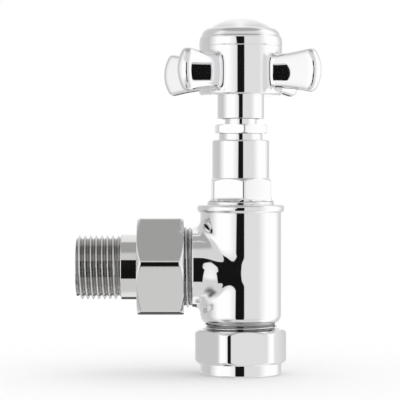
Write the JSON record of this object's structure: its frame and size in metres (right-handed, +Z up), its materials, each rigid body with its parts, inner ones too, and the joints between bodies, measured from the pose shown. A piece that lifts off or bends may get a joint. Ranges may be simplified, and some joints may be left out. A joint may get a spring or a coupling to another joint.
{
  "type": "manual radiator valve",
  "caption": "Angled manual radiator valve with a cross handle on a rising spindle, a compression end for copper pipe and a threaded union tail.",
  "frame": {"origin": "centre of the pipe socket's mouth, at the foot of the compression nut", "axes": "+Z up along the pipe and spindle, -X out along the radiator tail"},
  "size_m": [0.0788, 0.0508, 0.1158],
  "materials": {
    "chrome": "polished chrome plate over brass",
    "pale_chrome": "polished pale chrome plate",
    "nickel": "bright nickel plate over brass, a little warm",
    "brass": "turned brass",
    "steel": "plain stainless steel",
    "rubber": "matt black sealing rubber"
  },
  "bodies": {
    "body": {"valve_body": "chrome", "bonnet_seal": "rubber", "bonnet": "chrome", "gland_packing": "rubber", "gland_nut": "chrome"},
    "plug": {"plug": "brass", "seat_disc": "rubber", "disc_screw": "steel", "plug_clip": "steel"},
    "handle": {"spindle": "brass", "spindle_rings": "rubber", "crosshead": "chrome", "handle_skirt": "chrome", "drive_bush": "brass", "handle_screw": "steel", "cap_ring": "chrome", "dome_cap": "pale_chrome"},
    "tail": {"tail_piece": "nickel", "tail_washer": "rubber"},
    "union": {"union_nut": "nickel"},
    "olive": {"olive": "brass"},
    "nut": {"compression_nut": "chrome"}
  },
  "joints": [
    {"name": "plug_lift", "type": "slide", "parent": "body", "child": "plug", "axis": [0, 0, 1], "range_m": [0, 0.006]},
    {"name": "handle_turn", "type": "hinge", "parent": "plug", "child": "handle", "pos_m": [0, 0, 0.098], "axis": [0, 0, 1], "range_deg": [0, 1080]},
    {"name": "tail_draw", "type": "slide", "parent": "body", "child": "tail", "axis": [-1, 0, 0], "range_m": [0, 0.00726]},
    {"name": "union_turn", "type": "hinge", "parent": "tail", "child": "union", "pos_m": [-0.026, 0, 0.0349], "axis": [-1, 0, 0], "range_deg": [0, 1440]},
    {"name": "olive_draw", "type": "slide", "parent": "body", "child": "olive", "axis": [0, 0, -1], "range_m": [0, 0.0075]},
    {"name": "nut_turn", "type": "hinge", "parent": "olive", "child": "nut", "pos_m": [0, 0, 0.007], "axis": [0, 0, -1], "range_deg": [0, 1800]}
  ],
  "couplings": [
    {"joint": "plug_lift", "follows": "handle_turn", "m_per_rad": 0.00031831},
    {"joint": "tail_draw", "follows": "union_turn", "m_per_rad": 0.00028871},
    {"joint": "olive_draw", "follows": "nut_turn", "m_per_rad": 0.00023873}
  ]
}
